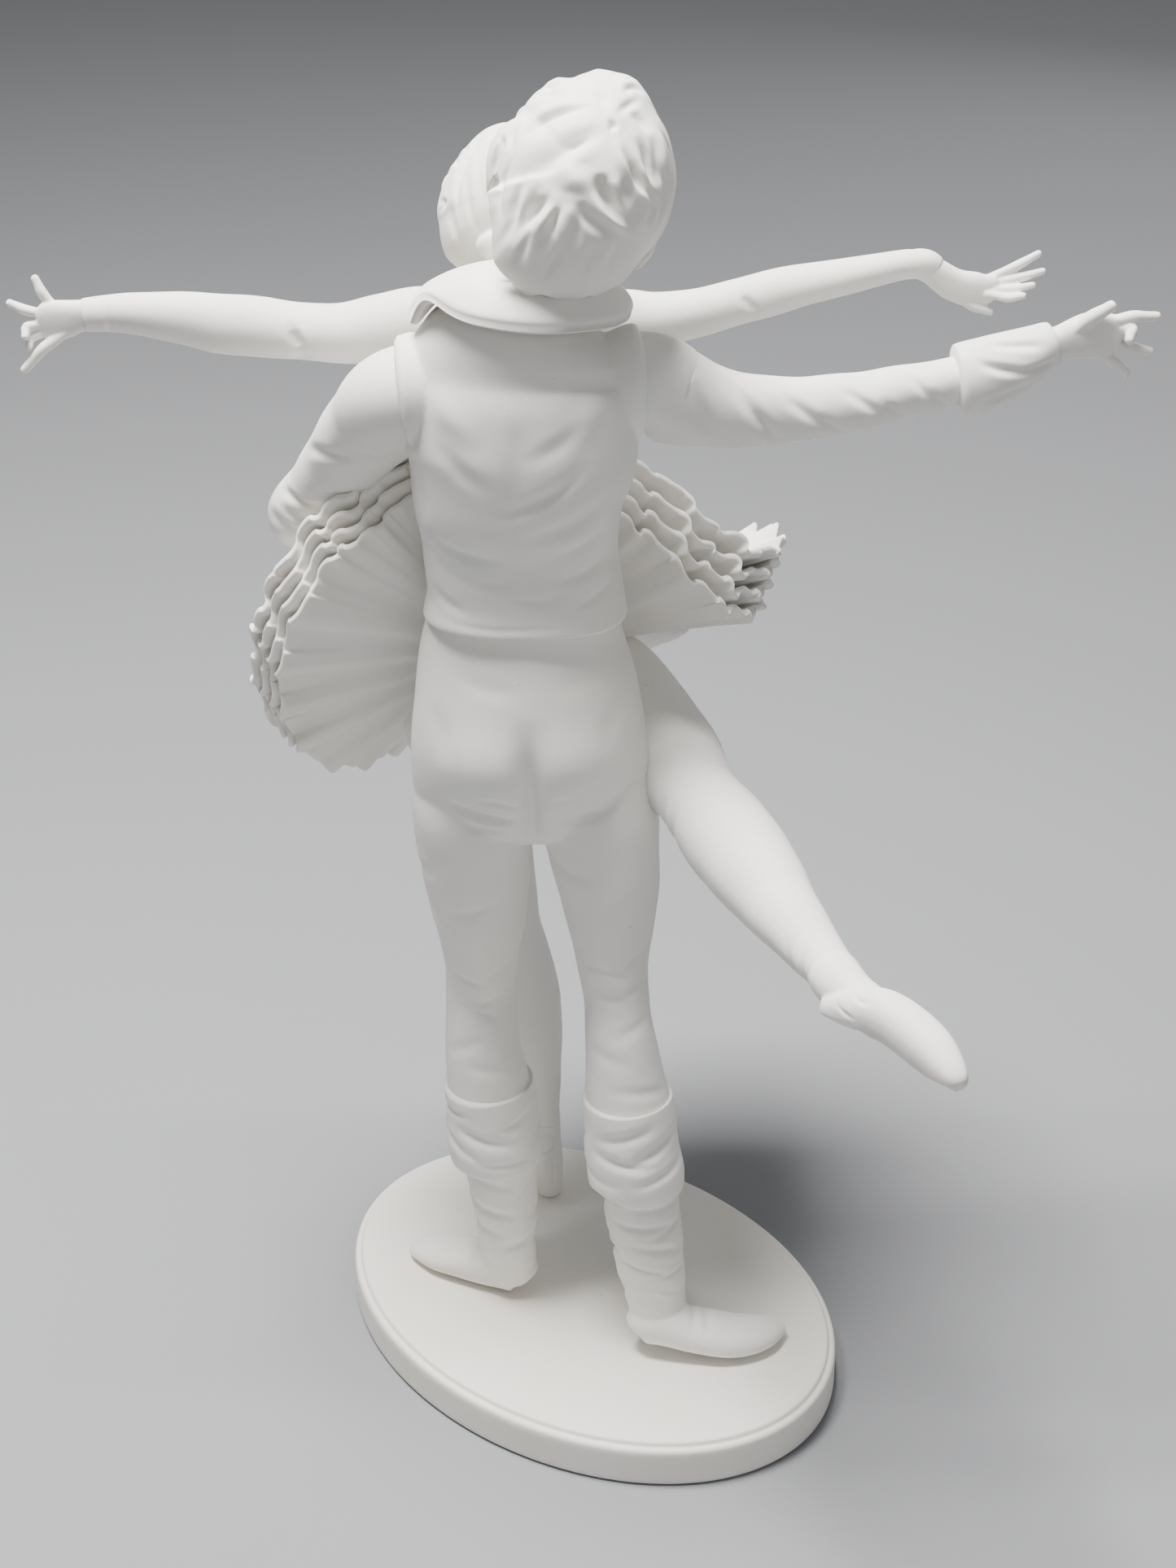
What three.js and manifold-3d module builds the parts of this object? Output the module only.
// Bisque porcelain figurine: two ballet dancers luted to an oval plinth.
// Millimetres, +Z up. Both dancers face +Y, and +X is on their right-hand side.
// Each casting is its own solid; a hairline joint is left open between castings.
import * as THREE from 'three';
import { mergeVertices } from 'three/addons/utils/BufferGeometryUtils.js';
import Module from 'manifold-3d';

// ---- driving dimensions -------------------------------------------------
const JOINT_GAP = 0.3; // hairline between neighbouring castings

const PLINTH_LENGTH = 131;
const PLINTH_WIDTH = 96;
const PLINTH_HEIGHT = 10.6;
const PLINTH_TURN = -47.6; // degrees from +X round to the long axis
const PLINTH_STEP = 1.5; // how far the bead stands outside the top face
const FOOT_RING = 5; // width of the ring it stands on
const RECESS_HEIGHT = 6; // hollow pressed up into the underside

const SOLE_HEIGHT = PLINTH_HEIGHT + JOINT_GAP;
const MAN_HEAD = { x: 14.8, y: 18.4, z: 19.8, tilt: 16, turn: 20 }; // half sizes, degrees
const WOMAN_HEAD = { x: 10.4, y: 12.4, z: 13.6, tilt: -14, turn: -6 };
const HAIR_THICKNESS = 2.2;

const TUTU_TIERS = 4;
const TUTU_RADIUS = 58.4; // length of the top sheet from the centre to its rim
const TUTU_STEP = 1.8; // each sheet below is this much shorter
const TUTU_PITCH = 3.5; // mean sheet spacing at the rim
const TUTU_SPREAD = { right: 1.3, front: 0.4 }; // wider spacing towards these sides
const TUTU_ROOT_PITCH = 2; // sheet spacing at the hip
const TUTU_THICKNESS = 1.2;
const TUTU_ROOT = 9; // inner radius, hidden inside the hips
const TUTU_FRILLS = 18; // waves round the rim
const TUTU_FRILL_DEPTH = 0.9;
const TUTU_CENTRE = new THREE.Vector3(-15.9, 27.5, 164.9);
const TUTU_TILT = 53.5; // degrees the disc leans forward
const TUTU_ROLL = 5.6; // degrees the right-hand side is higher
const TUTU_CURL = { height: 45.8, turn: 22, spread: 37 }; // rim curled up, front right
const TUTU_SAG = 18.6; // sides hang and front and back rise by this much

const wasm = await Module();
wasm.setup();

// ---- solid helpers ------------------------------------------------------
const UP = new THREE.Vector3(0, 0, 1);
const SIDEWAYS = new THREE.Vector3(1, 0, 0);
const degrees = THREE.MathUtils.degToRad;

// Welds the seams, drops the flat triangles of closed poles and faces the rest outwards.
function closedMesh(geometry) {
  geometry.deleteAttribute('normal');
  geometry.deleteAttribute('uv');
  const welded = mergeVertices(geometry);
  const position = welded.attributes.position;
  const corners = [new THREE.Vector3(), new THREE.Vector3(), new THREE.Vector3()];
  const kept = [];
  let volume = 0;
  for (let i = 0; i < welded.index.count; i += 3) {
    const [a, b, c] = [0, 1, 2].map((k) => welded.index.getX(i + k));
    if (a !== b && b !== c && c !== a) {
      [a, b, c].forEach((vertex, k) => corners[k].fromBufferAttribute(position, vertex));
      volume += corners[0].dot(corners[1].cross(corners[2]));
      kept.push([a, b, c]);
    }
  }
  welded.setIndex(kept.flatMap(([a, b, c]) => (volume < 0 ? [a, c, b] : [a, b, c])));
  return welded;
}

function toSolid(geometry) {
  const welded = closedMesh(geometry);
  const mesh = new wasm.Mesh({
    numProp: 3,
    vertProperties: new Float32Array(welded.attributes.position.array),
    triVerts: new Uint32Array(welded.index.array),
  });
  return new wasm.Manifold(mesh);
}

// A cut can leave a sliver beside the casting; only the largest body is kept.
function largestBody(solid) {
  const mesh = solid.getMesh();
  const vertexCount = mesh.vertProperties.length / mesh.numProp;
  const parent = Array.from({ length: vertexCount }, (_, i) => i);
  const find = (i) => {
    let root = i;
    while (parent[root] !== root) {
      root = parent[root];
    }
    parent[i] = root;
    return root;
  };
  for (let t = 0; t < mesh.triVerts.length; t += 3) {
    const root = find(mesh.triVerts[t]);
    parent[find(mesh.triVerts[t + 1])] = root;
    parent[find(mesh.triVerts[t + 2])] = root;
  }
  const sizes = new Map();
  for (let t = 0; t < mesh.triVerts.length; t += 3) {
    const root = find(mesh.triVerts[t]);
    sizes.set(root, (sizes.get(root) ?? 0) + 1);
  }
  const [keep] = [...sizes].sort((p, q) => q[1] - p[1])[0];
  const kept = [];
  for (let t = 0; t < mesh.triVerts.length; t += 3) {
    if (find(mesh.triVerts[t]) === keep) {
      kept.push(mesh.triVerts[t], mesh.triVerts[t + 1], mesh.triVerts[t + 2]);
    }
  }
  const geometry = new THREE.BufferGeometry();
  const position = new THREE.BufferAttribute(new Float32Array(mesh.vertProperties), 3);
  geometry.setAttribute('position', position);
  geometry.setIndex(kept);
  return geometry;
}

function remap(geometry, place) {
  const position = geometry.attributes.position;
  const uv = geometry.attributes.uv;
  const out = new THREE.Vector3();
  for (let i = 0; i < position.count; i += 1) {
    out.fromBufferAttribute(position, i);
    place(out, uv.getX(i) % 1, uv.getY(i));
    position.setXYZ(i, out.x, out.y, out.z);
  }
  return geometry;
}

// A limb runs through stations [x, y, z, half size along `across`, other half size].
function limb(stations, { around = 14, rows = 9, across = SIDEWAYS, grow = 0 } = {}) {
  const path = new THREE.CatmullRomCurve3(stations.map((s) => new THREE.Vector3(s[0], s[1], s[2])));
  const girth = new THREE.CatmullRomCurve3(stations.map((s) => new THREE.Vector3(s[3], s[4], 0)));
  const tangent = new THREE.Vector3();
  const first = new THREE.Vector3();
  const second = new THREE.Vector3();
  return remap(new THREE.SphereGeometry(1, around, rows), (point, u, v) => {
    const row = Math.round((1 - v) * rows);
    const t = THREE.MathUtils.clamp((row - 1) / (rows - 2), 0, 1);
    const size = row === 0 || row === rows ? new THREE.Vector3() : girth.getPoint(t);
    path.getTangent(t, tangent);
    first.copy(across).addScaledVector(tangent, -tangent.dot(across)).normalize();
    second.crossVectors(tangent, first);
    path.getPoint(t, point);
    const turn = u * 2 * Math.PI;
    const reach = size.x > 0 ? grow : 0;
    point.addScaledVector(first, Math.cos(turn) * (size.x + reach));
    point.addScaledVector(second, Math.sin(turn) * (size.y + reach));
    point.addScaledVector(tangent, (t < 0.5 ? -1 : 1) * grow * (t === 0 || t === 1 ? 1 : 0));
  });
}

// A closed band: `place(out, turn, across, thick)` with across and thick in -1..1.
function band(around, place) {
  return remap(new THREE.TorusGeometry(2, 1, 4, around), (point, u, v) => {
    const roll = ((v % 1) * 2 + 0.25) * Math.PI;
    place(point, u * 2 * Math.PI, Math.SQRT2 * Math.cos(roll), Math.SQRT2 * Math.sin(roll));
  });
}

// ---- castings, in the order they are assembled --------------------------
const castings = [];

function casting(name, color, build, joined = []) {
  castings.push({ name, color, build, joined });
}

const BISQUE = 0xe9e6e0;
const SHADED_BISQUE = 0xe2dfd8;

function plinth() {
  const half = PLINTH_LENGTH / 2;
  const h = PLINTH_HEIGHT;
  const profile = [
    [half, h],
    [PLINTH_STEP + 0.4, h],
    [PLINTH_STEP, h - 0.4],
    [PLINTH_STEP, h - 1.3],
    [0.4, h - 1.6],
    [0, h - 2.2],
    [0, 0.7],
    [0.7, 0],
    [FOOT_RING, 0],
    [FOOT_RING + 1, RECESS_HEIGHT],
    [half, RECESS_HEIGHT],
  ];
  const points = profile.map(([inset, z]) => new THREE.Vector2(half - inset, z));
  const short = PLINTH_WIDTH / 2;
  const turn = degrees(PLINTH_TURN);
  return remap(new THREE.LatheGeometry(points, 44), (point, u) => {
    const radius = Math.hypot(point.x, point.z);
    const inset = half - radius;
    const height = point.y;
    const angle = u * 2 * Math.PI;
    const reach = radius < 0.01 ? 0 : 1;
    const x = Math.cos(angle) * (half - inset) * reach;
    const y = Math.sin(angle) * (short - inset) * reach;
    point.set(x * Math.cos(turn) - y * Math.sin(turn), x * Math.sin(turn) + y * Math.cos(turn), height);
  });
}
casting('plinth', BISQUE, plinth);

// Man: the sleeveless jerkin, from its hem up to the neck.
casting('man_jerkin', BISQUE, (grow) => limb([
  [-13.4, -3, 185.5, 21, 15],
  [-13.5, -3.2, 193, 20, 13.8],
  [-14.2, -4, 203, 20, 13.6],
  [-14.3, -5, 212, 21.4, 14.8],
  [-13.6, -5, 222, 23.5, 16],
  [-13.9, -4.5, 231, 23.8, 15.5],
  [-13.9, -4, 238, 22.8, 13.4],
  [-13, -4.5, 244, 18, 11],
  [-11.5, -5, 249, 11, 8.5],
], { around: 18, rows: 11, grow }));

// Seat and both legs of the tights are one casting, jerkin hem to boot cuffs.
function tights(grow) {
  const seat = limb([
    [-13.5, -3, 188, 19, 13],
    [-13.8, -3, 177, 21.8, 14.8],
    [-13.2, -4, 166, 23.8, 16.8],
    [-12.8, -4.2, 156, 25.2, 18],
    [-12.4, -3, 147, 25.6, 16.5],
    [-12, -2, 139, 23, 13],
    [-12, -2, 135, 16, 8],
  ], { around: 16, rows: 9, grow });
  const left = limb([
    [-23.5, -2, 152, 12, 13],
    [-25, -1.5, 141, 13, 14.6],
    [-25, 0, 128, 12.2, 13.4],
    [-24.3, 1, 113.6, 10.6, 12],
    [-24.2, 3, 99.9, 8.4, 10.2],
    [-24.5, 4, 89.7, 7.7, 9.2],
    [-24.3, 2.4, 78.4, 8.3, 9.6],
    [-23.2, 1, 68.4, 9.5, 10],
  ], { around: 12, rows: 10, grow });
  const right = limb([
    [-1, -2.5, 152, 12, 13],
    [1.5, -3, 141, 13, 14.6],
    [3.2, -4, 129.6, 11.9, 13.4],
    [4.3, -5, 119.1, 10.6, 12],
    [4.9, -6.5, 104.8, 8.1, 10.2],
    [5.9, -8.5, 94.6, 7.2, 9.2],
    [7, -12, 84.3, 8, 9.6],
    [8.3, -14.5, 75, 9.4, 10],
  ], { around: 12, rows: 10, grow });
  return toSolid(seat).add(toSolid(left)).add(toSolid(right));
}
casting('man_tights', BISQUE, tights, ['man_jerkin']);

// Turned-down tops of the soft boots.
casting('man_left_cuff', BISQUE, (grow) => limb([
  [-23.1, 1, 68, 10, 10.8],
  [-22.7, 1, 63.2, 10.2, 11],
  [-22, 0.4, 53.5, 10.6, 11.4],
  [-21.5, 0.2, 47.2, 10.1, 11],
], { around: 14, rows: 5, grow }), ['man_tights']);
casting('man_right_cuff', BISQUE, (grow) => limb([
  [8.3, -14.6, 74.6, 9.8, 10.8],
  [8.6, -15, 70, 10.2, 11],
  [9.4, -16, 61.5, 10.5, 11.4],
  [10.4, -17, 53.4, 10.4, 11],
], { around: 14, rows: 5, grow }), ['man_tights']);

function boot(shaft, foot, grow) {
  const leg = limb(shaft, { around: 12, rows: 7, grow });
  const sole = limb(foot, { around: 12, rows: 8, across: UP, grow });
  return toSolid(leg).add(toSolid(sole));
}
const MAN_LEFT_SHAFT = [
  [-20.8, 0, 50, 8.6, 9.4],
  [-20.3, 0, 43, 8.4, 9.2],
  [-19.5, 0, 33, 7.3, 8.2],
  [-19.2, -0.4, 26, 6.8, 7.6],
  [-18.7, -0.6, 19, 6, 7],
  [-18.6, -0.8, 15, 5, 6],
];
const MAN_LEFT_FOOT = [
  [-14.6, -2.8, SOLE_HEIGHT + 3.8, 2.6, 2.2],
  [-16, -2, SOLE_HEIGHT + 5, 5, 4.6],
  [-20, 0, SOLE_HEIGHT + 5.6, 5.6, 5.6],
  [-27, 3.6, SOLE_HEIGHT + 4.4, 4.4, 6.4],
  [-34, 7.6, SOLE_HEIGHT + 3.1, 3.1, 6.2],
  [-39.6, 11, SOLE_HEIGHT + 2.2, 2.2, 4],
  [-41.4, 12.2, SOLE_HEIGHT + 1.6, 1.4, 1.8],
];
const MAN_RIGHT_SHAFT = [
  [10.7, -17, 56, 8.6, 9.4],
  [11.4, -17.3, 48, 8.6, 9.2],
  [12.8, -18, 38.6, 8.2, 8.8],
  [13.9, -19, 30.7, 7.7, 8.2],
  [15, -20.4, 23.5, 6.9, 7.4],
  [15.4, -22, 18.6, 5.6, 6],
];
const MAN_RIGHT_FOOT = [
  [10.4, -23, SOLE_HEIGHT + 6.6, 2.4, 2],
  [11.8, -23.2, SOLE_HEIGHT + 7.2, 4.4, 4.2],
  [16.5, -23.6, SOLE_HEIGHT + 7.4, 5.2, 5.4],
  [24, -24.2, SOLE_HEIGHT + 5.6, 4.4, 6.2],
  [31.5, -24, SOLE_HEIGHT + 3.8, 3.7, 6.8],
  [38, -21.6, SOLE_HEIGHT + 2.9, 2.8, 5.6],
  [43.4, -18.2, SOLE_HEIGHT + 2.2, 1.5, 2.4],
];
casting('man_left_boot', BISQUE, (grow) => boot(MAN_LEFT_SHAFT, MAN_LEFT_FOOT, grow), ['man_left_cuff', 'plinth']);
casting('man_right_boot', BISQUE, (grow) => boot(MAN_RIGHT_SHAFT, MAN_RIGHT_FOOT, grow), ['man_right_cuff', 'plinth']);

// Heads: an egg with a narrower jaw, set on its own axes.
function headAxes(head) {
  return new THREE.Euler(degrees(head.nod ?? 0), degrees(head.tilt), degrees(head.turn), 'ZYX');
}

function skull(head, centre, grow) {
  const axes = headAxes(head);
  return remap(new THREE.SphereGeometry(1, 14, 11), (point) => {
    const { x, y: z, z: y } = point;
    const jaw = THREE.MathUtils.smoothstep(-z, 0.05, 1);
    const nose = Math.exp(-(x * x) / 0.02 - (z + 0.22) ** 2 / 0.03) * (y > 0 ? 2.2 : 0);
    point.set(
      x * (head.x + grow) * (1 - 0.28 * jaw),
      y * (head.y + grow) * (1 - 0.12 * jaw) + 2.5 * jaw + nose,
      z * (head.z + grow),
    );
    point.applyEuler(axes).add(centre);
  });
}

function hairCap(head, centre, grow, locks) {
  const axes = headAxes(head);
  const thick = HAIR_THICKNESS + grow;
  const cap = remap(new THREE.SphereGeometry(1, 18, 12), (point) => {
    const { x, y: z, z: y } = point;
    const wave = 0.7 * Math.sin(locks * Math.atan2(x, z + 0.4) + 3 * y) * Math.cos(2.2 * y);
    point.set(x * (head.x + thick + wave), y * (head.y + thick + wave) - 1.6, z * (head.z + thick + wave) + 1);
    point.applyEuler(axes).add(centre);
  });
  const face = remap(new THREE.SphereGeometry(1, 12, 9), (point) => {
    point.set(point.x * (head.x + 5), point.y * head.y, point.z * (head.z + 2));
    point.add(new THREE.Vector3(0, head.y * 1.05, -head.z * 0.62));
    point.applyEuler(axes).add(centre);
  });
  return toSolid(cap).subtract(toSolid(face));
}

const MAN_HEAD_CENTRE = new THREE.Vector3(-1.6, -0.5, 273.2);
casting('man_neck', BISQUE, (grow) => limb([
  [-12, -5, 243, 9, 8],
  [-9.5, -3.8, 250, 7.6, 7.6],
  [-6.6, -2.4, 257, 7.4, 7.6],
  [-5, -1.4, 262, 7.2, 7.4],
], { around: 10, rows: 4, grow }), ['man_jerkin']);
casting('man_head', BISQUE, (grow) => toSolid(skull(MAN_HEAD, MAN_HEAD_CENTRE, grow)), ['man_neck']);
casting('man_hair', BISQUE, (grow) => hairCap(MAN_HEAD, MAN_HEAD_CENTRE, grow, 7), ['man_head', 'man_neck']);

// Wide collar, folded over behind the neck.
function collar(grow) {
  return band(22, (point, turn, across, thick) => {
    const share = (across + 1) / 2;
    const x = Math.cos(turn);
    const y = Math.sin(turn);
    const reach = x < 0 ? 22.6 : 20.8;
    const wide = THREE.MathUtils.lerp(13, reach, share) + (1.1 + grow) * thick;
    const deep = THREE.MathUtils.lerp(10.5, 13.8, share) + (1.1 + grow) * thick;
    const fall = THREE.MathUtils.lerp(0, 5, share);
    point.set(-10.6 - 2.2 * share + x * wide, -4.4 + y * deep, 255.2 - fall - 1.2 * x + grow * across);
  });
}
casting('man_collar', SHADED_BISQUE, collar, ['man_jerkin', 'man_neck', 'man_head', 'man_hair']);

// Man: arms in full sleeves, out of the jerkin's armholes.
casting('man_right_sleeve', BISQUE, (grow) => limb([
  [4, -2, 235, 9.5, 9],
  [12, -1.4, 234.5, 9.8, 9],
  [17, -0.6, 231.6, 9.8, 8.6],
  [24, 0, 229.2, 8.3, 7.8],
  [33, 0, 228.2, 7.3, 7],
  [42.5, 0.4, 228.5, 6.3, 6.2],
  [52.5, 1, 229.4, 6, 5.8],
  [62, 2.4, 231, 5.4, 5.2],
  [74.6, 4.6, 233, 4.9, 4.9],
], { across: UP, around: 12, rows: 11, grow }), ['man_jerkin', 'man_collar']);
casting('man_right_wristband', BISQUE, (grow) => limb([
  [74.8, 4.7, 232.8, 7, 6.6],
  [79.2, 5.2, 233.8, 7.6, 7],
  [85.6, 6.4, 236.4, 6.4, 6],
  [92.4, 7.8, 239.1, 4.8, 4.4],
], { across: UP, around: 12, rows: 5, grow }), ['man_right_sleeve']);
const MAN_LEFT_ELBOW = [-61, 18.5, 198.5];
casting('man_left_sleeve', BISQUE, (grow) => limb([
  [-31, -4, 235, 9.5, 10],
  [-38, -2.2, 231.2, 10.6, 9.6],
  [-43.6, 3, 224.4, 9.8, 8.8],
  [-49.2, 8, 216.4, 8.5, 7.8],
  [-55.2, 13.4, 207, 7.4, 7.2],
  [...MAN_LEFT_ELBOW, 6.8, 6.8],
  [-58, 27, 194, 6.3, 6.3],
  [-50, 36, 192.4, 5.6, 5.6],
  [-41, 42.5, 192.6, 4.6, 4.6],
], { around: 12, rows: 12, grow }), ['man_jerkin', 'man_collar']);

// A hand is a flat palm with a thumb and four fingers, all one casting.
function hand(palm, fingers, across, grow) {
  let solid = toSolid(limb(palm, { around: 8, rows: 5, across, grow }));
  for (const [knuckle, bend, tip, radius] of fingers) {
    const stations = [
      [...knuckle, radius * 1.15, radius * 1.15],
      [...bend, radius, radius],
      [...tip, radius * 0.72, radius * 0.72],
    ];
    const slim = new THREE.Vector3(0.3, 0.5, 0.8);
    solid = solid.add(toSolid(limb(stations, { around: 6, rows: 5, across: slim, grow })));
  }
  return solid;
}
casting('man_right_hand', BISQUE, (grow) => hand([
  [90.5, 7.6, 238.6, 3.2, 2.4],
  [94.5, 8.2, 239.6, 3.4, 2.4],
  [100, 9, 240.8, 4.6, 2.5],
  [104.5, 9.4, 240.8, 4.4, 2.2],
  [106.5, 9.6, 240.6, 3.2, 1.8],
], [
  [[97, 8, 242.4], [100.5, 6.8, 245.6], [104.6, 6.6, 248.2], 1.5],
  [[103.5, 9, 243.6], [109, 9.4, 244.6], [114.8, 10.4, 244.4], 1.25],
  [[104.5, 9.4, 241.8], [108.6, 8.2, 242.4], [107.8, 5.6, 240.6], 1.25],
  [[104.4, 9.4, 239.6], [109, 9.6, 238.2], [114, 10.2, 237], 1.2],
  [[102.6, 9.2, 237.8], [106, 9, 235], [109, 9.4, 232.6], 1.15],
], UP, grow), ['man_right_wristband']);
casting('man_left_hand', BISQUE, (grow) => hand([
  [-43, 41.6, 192.6, 3.4, 3],
  [-38, 43.6, 192.8, 3.2, 2.6],
  [-31, 44.6, 193.2, 4.6, 2.3],
  [-25, 44, 193.4, 4.6, 2],
  [-22.5, 43.4, 193.4, 3.4, 1.6],
], [
  [[-33, 43.6, 196], [-29.5, 42.4, 199.6], [-26, 41.6, 202.4], 1.5],
  [[-25, 43.6, 196.6], [-19, 42, 197.6], [-13.5, 41.6, 197.6], 1.3],
  [[-24.4, 43.8, 194.2], [-17.6, 42.4, 194.4], [-11.4, 42.2, 193.8], 1.3],
  [[-24.6, 43.8, 191.8], [-18.4, 42.8, 191.2], [-12.8, 42.6, 190.2], 1.25],
  [[-25.6, 43.8, 189.6], [-20.6, 43.4, 188], [-16, 43.4, 186.8], 1.15],
], UP, grow), ['man_left_sleeve']);

// Woman: bodice from the hips to the shoulders.
casting('woman_bodice', BISQUE, (grow) => limb([
  [-15, 28, 151, 11, 9],
  [-15, 28, 157, 15, 12],
  [-15, 28, 165, 16.5, 12.6],
  [-15, 28.4, 175, 14.6, 11],
  [-15, 29.2, 187, 11.6, 9],
  [-15, 30, 198, 12.4, 9.6],
  [-15, 31, 209, 15, 12],
  [-15, 30.6, 218, 16.4, 11.8],
  [-14.8, 29.6, 228, 17.4, 9.6],
  [-14.5, 29, 236, 16.4, 7.6],
  [-14.5, 28.6, 240, 9.5, 6],
  [-14.6, 28.4, 243.5, 5.6, 5.2],
], { around: 14, rows: 13, grow }), ['man_jerkin', 'man_tights', 'man_left_hand', 'man_left_sleeve']);
const WOMAN_HEAD_CENTRE = new THREE.Vector3(-18, 26, 262.6);
casting('woman_neck', BISQUE, (grow) => limb([
  [-14.6, 28.4, 240.5, 5.4, 5.2],
  [-15.4, 27.8, 247, 4.9, 4.9],
  [-16.6, 27, 254, 5, 5],
], { around: 10, rows: 4, grow }), ['woman_bodice']);
const womanSkull = (grow) => toSolid(skull(WOMAN_HEAD, WOMAN_HEAD_CENTRE, grow));
casting('woman_head', BISQUE, womanSkull, ['woman_neck', 'man_head', 'man_hair', 'man_neck', 'man_collar']);
const womanHair = (grow) => hairCap(WOMAN_HEAD, WOMAN_HEAD_CENTRE, grow, 5);
casting('woman_hair', BISQUE, womanHair, ['woman_head', 'woman_neck', 'man_head', 'man_hair', 'man_neck', 'man_collar']);

casting('woman_left_arm', BISQUE, (grow) => limb([
  [-26, 29, 236, 6.4, 6],
  [-34.7, 28.6, 237, 7.6, 6.8],
  [-43, 28.2, 235.8, 7.4, 6.6],
  [-51.7, 28, 234.9, 6.3, 6],
  [-60.1, 28, 235.3, 5.8, 5.8],
  [-68.6, 28, 236.3, 6.2, 5.8],
  [-77, 28, 237.1, 6.2, 5.6],
  [-85.4, 28, 238.4, 5.5, 5],
  [-94, 28, 239.2, 4.5, 4.1],
  [-104.4, 28, 239, 3.7, 3.3],
], { across: UP, around: 10, rows: 11, grow }), ['woman_bodice', 'man_jerkin', 'man_collar', 'man_left_sleeve']);
casting('woman_right_arm', BISQUE, (grow) => limb([
  [-3, 29, 236.4, 6, 6],
  [6.8, 28.4, 237.6, 6.4, 6],
  [14, 28, 237.8, 5.7, 5.6],
  [22, 27.4, 239.6, 4.9, 5],
  [30.3, 27, 242, 4.7, 4.8],
  [38.2, 27, 244.2, 4.5, 4.6],
  [46.5, 26.4, 246.4, 4, 4.1],
  [54.8, 26, 248.2, 3.5, 3.6],
  [63.1, 26, 250.1, 3.1, 3.1],
  [69.2, 26, 250.4, 3.2, 3],
], { across: UP, around: 10, rows: 11, grow }), ['woman_bodice', 'man_jerkin', 'man_collar', 'man_right_sleeve']);
casting('woman_left_hand', BISQUE, (grow) => hand([
  [-102.5, 28, 239, 3.1, 2.4],
  [-105.5, 28, 238.8, 3.2, 2.2],
  [-109.5, 28, 238, 4, 2.1],
  [-113, 28, 237.6, 4, 1.8],
  [-114.6, 28, 237.4, 2.8, 1.4],
], [
  [[-111.6, 28.4, 240.2], [-113.6, 28.8, 243.6], [-115.2, 29.6, 247], 1.1],
  [[-113.4, 28, 239], [-117.4, 28.2, 240], [-121.2, 29, 241.4], 1.1],
  [[-113.6, 28, 237.6], [-117, 27, 236.6], [-116.8, 25, 234.8], 1.1],
  [[-113, 28, 236], [-116.4, 27.2, 234.2], [-116.6, 25.6, 232.4], 1.05],
  [[-108.6, 27.4, 235.8], [-113.6, 26, 232.4], [-118.6, 25.6, 227.2], 1.25],
], UP, grow), ['woman_left_arm']);
casting('woman_right_hand', BISQUE, (grow) => hand([
  [67.4, 26, 250.2, 2.7, 2.3],
  [70, 26, 249.2, 2.9, 2.3],
  [75, 26, 246, 3.4, 2.2],
  [80, 26, 245, 3.6, 1.9],
  [84, 26, 246, 2.4, 1.5],
], [
  [[74.8, 26, 244.4], [79, 25.2, 241.8], [83.4, 25, 240.4], 1.15],
  [[83, 26.6, 247.4], [88.2, 27, 250], [92.6, 27.6, 252.4], 1],
  [[83.4, 26, 246.4], [88.8, 26.2, 247.6], [93.6, 26.6, 248.8], 1],
  [[83, 25.4, 245.4], [87.4, 24.6, 245.6], [91.4, 24.4, 246.6], 0.95],
  [[82.4, 24.8, 244.6], [86, 23.4, 244], [89.4, 22.8, 244.8], 0.95],
], UP, grow), ['woman_right_arm']);

// Standing leg on point, and the leg raised behind her.
casting('woman_standing_leg', BISQUE, (grow) => limb([
  [-25.5, 24.5, 153, 8.5, 8],
  [-28.8, 28, 147, 12.6, 11.2],
  [-27.6, 30, 138, 12.4, 12.2],
  [-24.6, 30.4, 120, 10.6, 11],
  [-21.4, 31, 104, 8.8, 9.4],
  [-19.2, 31.6, 90, 7.8, 8.4],
  [-16.2, 32, 76, 8.3, 8.8],
  [-14.6, 32.2, 64, 8, 8.4],
  [-13, 33.4, 48, 6.2, 6.6],
  [-11.8, 34.4, 33, 4.2, 4.8],
], { around: 12, rows: 12, grow }), ['woman_bodice', 'man_tights']);
casting('woman_standing_slipper', BISQUE, (grow) => limb([
  [-11.9, 34.4, 35.6, 4.4, 5],
  [-11.6, 34.2, 30, 4.3, 5.4],
  [-11, 35, 24, 4.2, 5.2],
  [-10.4, 36, 18, 3.9, 4.2],
  [-10, 36.2, 13, 3.3, 3.2],
  [-9.9, 36.2, SOLE_HEIGHT, 2.6, 2.5],
], { around: 10, rows: 7, grow }), ['woman_standing_leg', 'plinth']);
casting('woman_raised_leg', BISQUE, (grow) => limb([
  [-3.5, 26, 160, 10, 10],
  [4, 22, 156.5, 12, 12],
  [11, 13.5, 151.4, 12, 12],
  [17.4, 4, 148, 10.8, 11],
  [21.4, -7, 147, 9, 9.4],
  [24, -15, 146.4, 8.7, 9],
  [28.5, -26, 144.7, 9.8, 9.8],
  [33.7, -40, 143.9, 8.9, 9],
  [39, -53, 142, 7.1, 7.2],
  [44.5, -64, 139.4, 5.4, 5.6],
  [47.4, -70, 138.4, 4.4, 4.6],
], { across: UP, around: 12, rows: 13, grow }), ['woman_bodice', 'man_tights', 'man_jerkin']);
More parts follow.
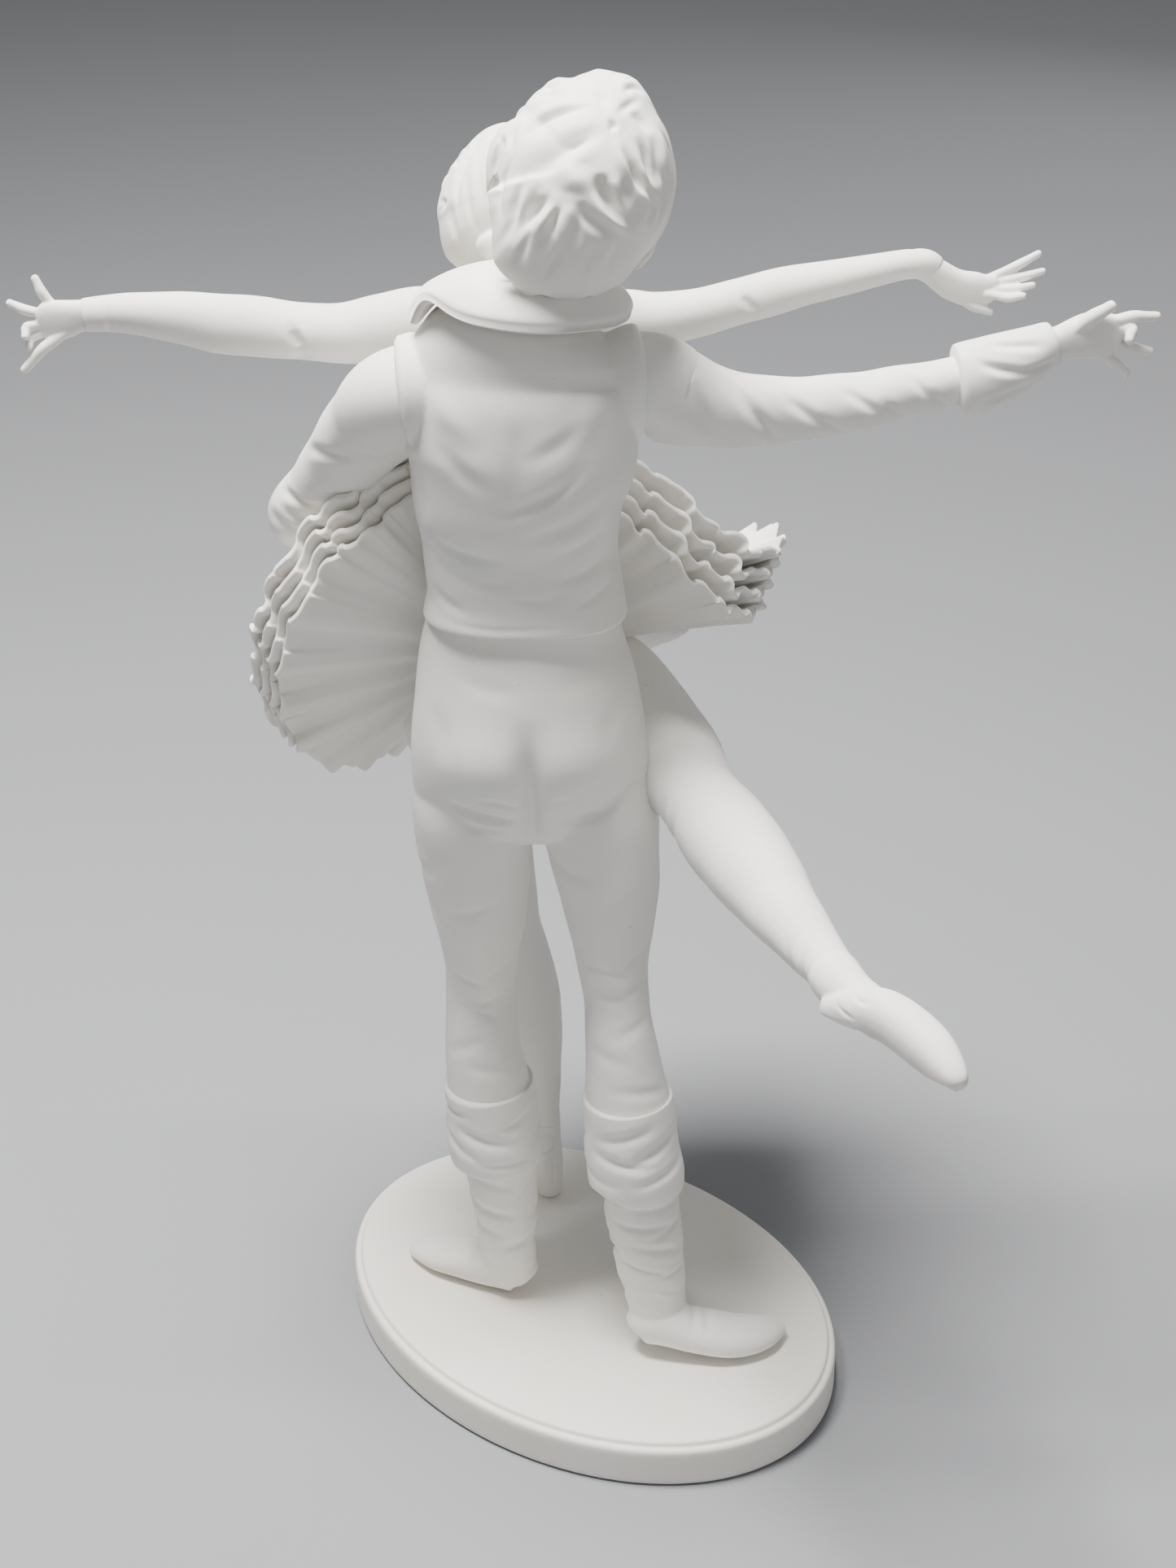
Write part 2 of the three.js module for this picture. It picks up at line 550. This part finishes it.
casting('woman_raised_slipper', BISQUE, (grow) => limb([
  [46.6, -68.6, 138.6, 4.5, 4.7],
  [48, -71.8, 137.6, 4.8, 4.8],
  [51.2, -77.6, 136.9, 6, 4.9],
  [56.7, -86, 138.2, 4.9, 5],
  [61.3, -93, 138, 3.9, 4.2],
  [64.4, -98, 136.8, 2.8, 3],
  [67, -102, 135.2, 1.3, 1.4],
], { across: UP, around: 10, rows: 8, grow }), ['woman_raised_leg']);

// Tutu: frilled tiers set round the hips, the smallest one underneath.
const tutuUp = new THREE.Vector3(0, Math.sin(degrees(TUTU_TILT)), Math.cos(degrees(TUTU_TILT)));
tutuUp.applyAxisAngle(new THREE.Vector3(0, 1, 0), degrees(-TUTU_ROLL));
const tutuRight = SIDEWAYS.clone().applyAxisAngle(new THREE.Vector3(0, 1, 0), degrees(-TUTU_ROLL));
const tutuFront = new THREE.Vector3().crossVectors(tutuUp, tutuRight);

function tutuTier(tier) {
  const length = TUTU_RADIUS - TUTU_STEP * tier;
  const stack = (TUTU_TIERS - 1) / 2 - tier;
  return () => band(TUTU_FRILLS * 4, (point, turn, across, thick) => {
    const wave = (count, a, b) => a * Math.cos(count * turn) + b * Math.sin(count * turn);
    const aside = turn - degrees(TUTU_CURL.turn);
    const fromCurl = Math.atan2(Math.sin(aside), Math.cos(aside)) / degrees(TUTU_CURL.spread);
    const curl = TUTU_CURL.height * Math.exp(-(fromCurl ** 2));
    const lift = curl + wave(2, -TUTU_SAG, -0.7) + wave(3, -2.6, -2.4);
    const outline = 1 + wave(1, 0.04, 0.033) + wave(2, 0.007, 0.1) + wave(3, -0.01, 0.011);
    const rim = Math.sqrt((length * outline) ** 2 - 0.9 * lift ** 2);
    const spacing = TUTU_PITCH + wave(1, TUTU_SPREAD.right, TUTU_SPREAD.front);
    const frill = TUTU_FRILL_DEPTH * Math.cos(TUTU_FRILLS * turn);
    const share = (across + 1) / 2;
    const radius = THREE.MathUtils.lerp(TUTU_ROOT, rim, share);
    const height = THREE.MathUtils.lerp(
      stack * TUTU_ROOT_PITCH,
      stack * spacing + lift + frill,
      share,
    );
    point.copy(TUTU_CENTRE);
    point.addScaledVector(tutuRight, Math.cos(turn) * radius);
    point.addScaledVector(tutuFront, Math.sin(turn) * radius);
    point.addScaledVector(tutuUp, height + (thick * TUTU_THICKNESS) / 2);
  });
}
const BEHIND_TUTU = [
  'man_jerkin', 'man_tights', 'man_left_sleeve', 'man_left_hand', 'woman_bodice',
  'woman_standing_leg', 'woman_raised_leg', 'man_right_sleeve',
];
for (let tier = 0; tier < TUTU_TIERS; tier += 1) {
  casting(`tutu_tier_${tier + 1}`, BISQUE, tutuTier(tier), BEHIND_TUTU);
}

// ---- assembly -----------------------------------------------------------
const asSolid = (shape) => (shape.isBufferGeometry ? toSolid(shape) : shape);
const group = new THREE.Group();
for (const { name, color, build, joined } of castings) {
  let solid = asSolid(build(0));
  for (const other of castings.filter((c) => joined.includes(c.name))) {
    if (other.name !== 'plinth') {
      solid = solid.subtract(asSolid(other.build(JOINT_GAP)));
    }
  }
  const geometry = largestBody(solid);
  geometry.computeVertexNormals();
  const material = new THREE.MeshStandardMaterial({ color, roughness: 0.72, metalness: 0 });
  const mesh = new THREE.Mesh(geometry, material);
  mesh.name = name;
  group.add(mesh);
}

// The origin is on the ground under the middle of the whole group.
const extent = new THREE.Box3().setFromObject(group);
const middle = extent.getCenter(new THREE.Vector3());
group.position.set(-middle.x, -middle.y, -extent.min.z);

export default group;
